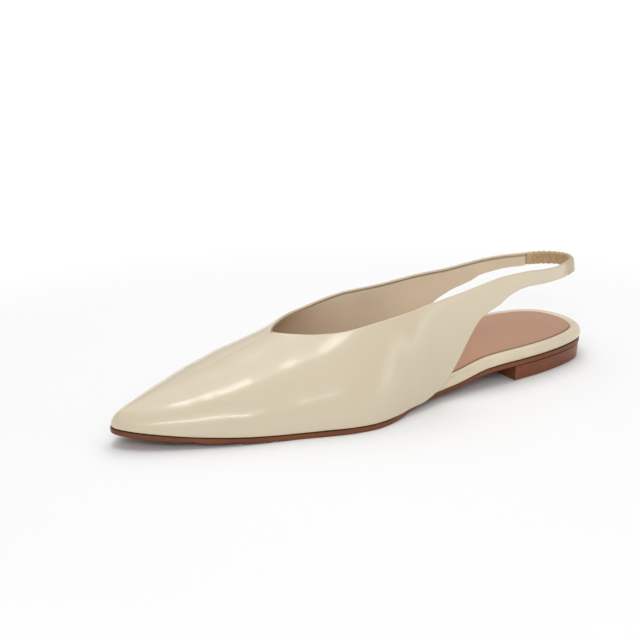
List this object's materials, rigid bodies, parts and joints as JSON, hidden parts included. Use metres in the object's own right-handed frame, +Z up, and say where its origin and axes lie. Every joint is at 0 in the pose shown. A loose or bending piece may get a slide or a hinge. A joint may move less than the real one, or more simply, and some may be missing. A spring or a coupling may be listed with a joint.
{
  "type": "sling back flat shoe",
  "caption": "Pointed women's flat, left shoe: cream leather vamp with low quarters and an elastic-backed sling strap, thin sole, low heel.",
  "frame": {"origin": "centre of the shoe's box, on the ground it stands on", "axes": "+Z up, -Y towards the toe, +X towards the lateral (outer) side of the left shoe"},
  "size_m": [0.08, 0.262, 0.055],
  "materials": {
    "upper_leather": "glossy smooth calf, cream",
    "binding_leather": "cream leather bound round the insole, fine creases",
    "sock_leather": "matt tan kid",
    "sole_leather": "burnished brown",
    "heel_leather": "stacked leather, burnished brown",
    "elastic": "ruched elastic under gathered cream leather"
  },
  "bodies": {
    "root": {"upper": "upper_leather", "insole": "binding_leather", "sock": "sock_leather", "outsole": "sole_leather", "heel": "heel_leather", "sling_elastic": "elastic"}
  },
  "joints": []
}
